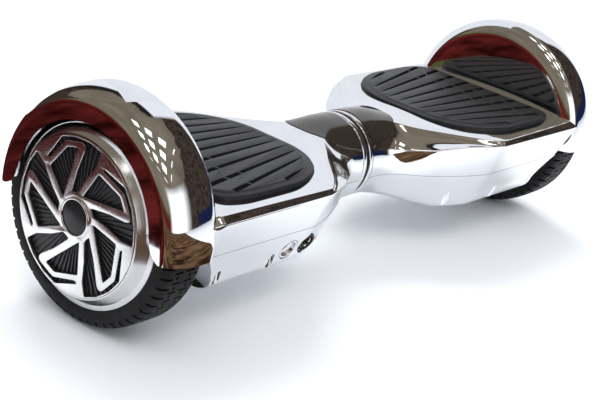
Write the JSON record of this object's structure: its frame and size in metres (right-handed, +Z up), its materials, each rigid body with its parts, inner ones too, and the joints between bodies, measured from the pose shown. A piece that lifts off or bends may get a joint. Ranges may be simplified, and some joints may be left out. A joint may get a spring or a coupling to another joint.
{
  "type": "self-balancing hoverboard",
  "caption": "Two-wheeled self-balancing board with mirror shells, arched fenders, ribbed foot pads and a twisting waist.",
  "frame": {"origin": "on the floor, under the twist joint, midway between the two wheels", "axes": "+X along the wheel axle towards the right wheel, +Z up, -Y towards the face with the power button and charging socket"},
  "size_m": [0.5842, 0.1854, 0.175],
  "materials": {
    "chrome_shell": "ABS mouldings plated mirror-bright like chrome",
    "chrome_trim": "bright plated trim rings",
    "smoked_cover": "dark smoked translucent gloss plastic",
    "clear_lens": "clear gloss lens with fine flutes",
    "pad_rubber": "black satin moulded rubber",
    "tyre_rubber": "black solid tyre with a grooved tread",
    "polished_aluminium": "turned and polished, fine concentric marks",
    "cast_aluminium": "as cast, slightly grainy",
    "steel": "ground steel",
    "black_plastic": "black satin plastic",
    "copper_winding": "enamelled copper wire on laminations",
    "magnet": "nickel-plated magnets",
    "circuit_board": "green solder mask",
    "battery_wrap": "metal-cased cells in blue shrink wrap",
    "cable_sleeve": "black sleeve",
    "brass": "turned bearing bronze"
  },
  "bodies": {
    "left_half": {"left_upper_shell": "chrome_shell", "left_lower_shell": "chrome_shell", "left_frame": "cast_aluminium", "left_indicator_cover": "smoked_cover", "left_indicator_board": "circuit_board", "left_headlight": "clear_lens", "left_neck_ring": "chrome_trim", "left_axle_clamp": "cast_aluminium", "left_gyro_board": "circuit_board", "left_axle": "steel", "left_stator": "copper_winding", "central_shaft": "steel", "shaft_circlip": "steel", "twist_stop_pin": "steel", "neck_seal": "pad_rubber", "wiring_loom": "cable_sleeve", "battery_pack": "battery_wrap", "charging_socket": "black_plastic", "power_button_bezel": "chrome_trim"},
    "right_half": {"right_upper_shell": "chrome_shell", "right_lower_shell": "chrome_shell", "right_frame": "cast_aluminium", "right_indicator_cover": "smoked_cover", "right_indicator_board": "circuit_board", "right_headlight": "clear_lens", "right_neck_ring": "chrome_trim", "right_axle_clamp": "cast_aluminium", "right_gyro_board": "circuit_board", "right_axle": "steel", "right_stator": "copper_winding", "inner_bush": "brass", "outer_bush": "brass", "main_board": "circuit_board"},
    "left_wheel": {"left_tyre": "tyre_rubber", "left_rim": "polished_aluminium", "left_magnet_ring": "magnet", "left_motor_end_plate": "cast_aluminium", "left_inner_bearing": "steel", "left_outer_bearing": "steel", "left_wheel_disc": "black_plastic", "left_wheel_cover": "polished_aluminium", "left_hub_cap": "black_plastic", "left_hub_cap_ring": "chrome_trim"},
    "left_pad": {"left_foot_pad": "pad_rubber", "left_plunger_front": "black_plastic", "left_plunger_rear": "black_plastic"},
    "right_wheel": {"right_tyre": "tyre_rubber", "right_rim": "polished_aluminium", "right_magnet_ring": "magnet", "right_motor_end_plate": "cast_aluminium", "right_inner_bearing": "steel", "right_outer_bearing": "steel", "right_wheel_disc": "black_plastic", "right_wheel_cover": "polished_aluminium", "right_hub_cap": "black_plastic", "right_hub_cap_ring": "chrome_trim"},
    "right_pad": {"right_foot_pad": "pad_rubber", "right_plunger_front": "black_plastic", "right_plunger_rear": "black_plastic"},
    "button": {"power_button": "chrome_trim"}
  },
  "joints": [
    {"name": "twist", "type": "hinge", "parent": "left_half", "child": "right_half", "pos_m": [0, 0, 0.083], "axis": [1, 0, 0], "range_deg": [-10, 10]},
    {"name": "left_wheel_spin", "type": "hinge", "parent": "left_half", "child": "left_wheel", "pos_m": [-0.26225, 0, 0.083], "axis": [1, 0, 0], "continuous": true},
    {"name": "right_wheel_spin", "type": "hinge", "parent": "right_half", "child": "right_wheel", "pos_m": [0.26225, 0, 0.083], "axis": [1, 0, 0], "continuous": true},
    {"name": "left_pad_press", "type": "slide", "parent": "left_half", "child": "left_pad", "axis": [0, 0, -1], "range_m": [0, 0.0015], "stiffness_N_per_m": 8000},
    {"name": "right_pad_press", "type": "slide", "parent": "right_half", "child": "right_pad", "axis": [0, 0, -1], "range_m": [0, 0.0015], "stiffness_N_per_m": 8000},
    {"name": "power_button_press", "type": "slide", "parent": "left_half", "child": "button", "axis": [0, 0.9272, 0.3746], "range_m": [0, 0.0015], "stiffness_N_per_m": 400}
  ]
}
